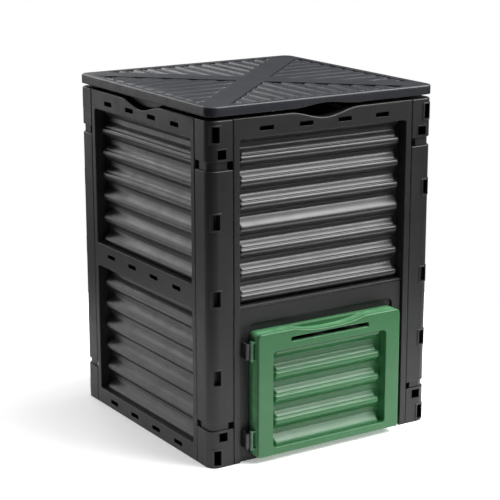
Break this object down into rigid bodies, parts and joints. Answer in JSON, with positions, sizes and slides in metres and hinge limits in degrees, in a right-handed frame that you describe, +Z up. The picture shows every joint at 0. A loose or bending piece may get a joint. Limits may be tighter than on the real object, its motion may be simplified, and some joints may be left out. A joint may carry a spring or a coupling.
{
  "type": "compost bin",
  "caption": "Free-standing square plug-together garden compost bin with ribbed vented walls, corner posts, a hinged rain-collecting lid and a hinged emptying door low in the front.",
  "frame": {"origin": "middle of the base of the whole object's box, on the ground", "axes": "+Z up, -Y towards the front with the emptying door, +X to the right seen from the front"},
  "size_m": [0.608, 0.6566, 0.817],
  "materials": {
    "wall_black": "moulded recycled plastic, charcoal black, low sheen",
    "post_black": "moulded recycled plastic, charcoal black, low sheen",
    "lid_black": "moulded recycled plastic, charcoal black, satin ribs",
    "clip_black": "moulded plastic, charcoal black",
    "door_green": "moulded plastic, leaf green, low sheen"
  },
  "bodies": {
    "bin": {"bottom_corner_bracket_front_left": "post_black", "bottom_corner_bracket_front_right": "post_black", "bottom_corner_bracket_rear_left": "post_black", "bottom_corner_bracket_rear_right": "post_black", "corner_post_front_left": "post_black", "corner_post_front_right": "post_black", "corner_post_rear_left": "post_black", "corner_post_rear_right": "post_black", "door_hinge_clip_lower": "clip_black", "door_hinge_clip_upper": "clip_black", "door_surround": "wall_black", "front_upper_rib_panel": "wall_black", "front_wall_frame": "wall_black", "left_lower_rib_panel": "wall_black", "left_upper_rib_panel": "wall_black", "left_wall_frame": "wall_black", "lid_hinge_clip_left": "clip_black", "lid_hinge_clip_right": "clip_black", "rear_lower_rib_panel": "wall_black", "rear_upper_rib_panel": "wall_black", "rear_wall_frame": "wall_black", "right_lower_rib_panel": "wall_black", "right_upper_rib_panel": "wall_black", "right_wall_frame": "wall_black", "top_corner_bracket_front_left": "post_black", "top_corner_bracket_front_right": "post_black", "top_corner_bracket_rear_left": "post_black", "top_corner_bracket_rear_right": "post_black"},
    "door": {"door_shell": "door_green", "door_rib_panel": "door_green", "door_snap_catches": "door_green"},
    "lid": {"lid_shell": "lid_black", "lid_cross_stiffener": "lid_black"}
  },
  "joints": [
    {"name": "door_hinge", "type": "hinge", "parent": "bin", "child": "door", "pos_m": [-0.204, -0.3113, 0.16], "axis": [0, 0, -1], "range_deg": [0, 110]},
    {"name": "lid_hinge", "type": "hinge", "parent": "bin", "child": "lid", "pos_m": [0, 0.3207, 0.8005], "axis": [-1, 0, 0], "range_deg": [0, 100]}
  ]
}
